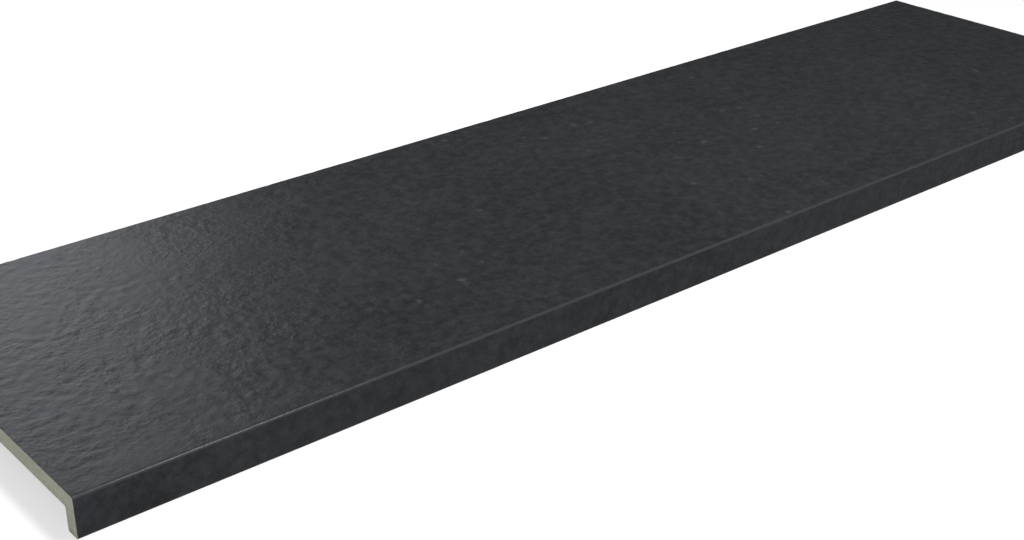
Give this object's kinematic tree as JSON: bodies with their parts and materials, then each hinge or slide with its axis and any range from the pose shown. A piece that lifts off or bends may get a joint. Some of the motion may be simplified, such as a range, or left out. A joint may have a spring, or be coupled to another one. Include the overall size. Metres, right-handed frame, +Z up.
{
  "type": "stair tread tile",
  "caption": "Long L-section porcelain stair tread tile with a flat charcoal stone-look walking face, a short turned-down nosing and keying grooves underneath.",
  "frame": {"origin": "under the middle of the tile, level with the foot of the nosing: the bottom centre of the bounding box", "axes": "+X along the nosing, +Y from the nosing to the back edge, +Z up, square to the walking face"},
  "size_m": [1.2, 0.33, 0.03],
  "materials": {
    "glazed_porcelain": "satin"
  },
  "bodies": {
    "root": {"stair_tread": "glazed_porcelain"}
  },
  "joints": []
}
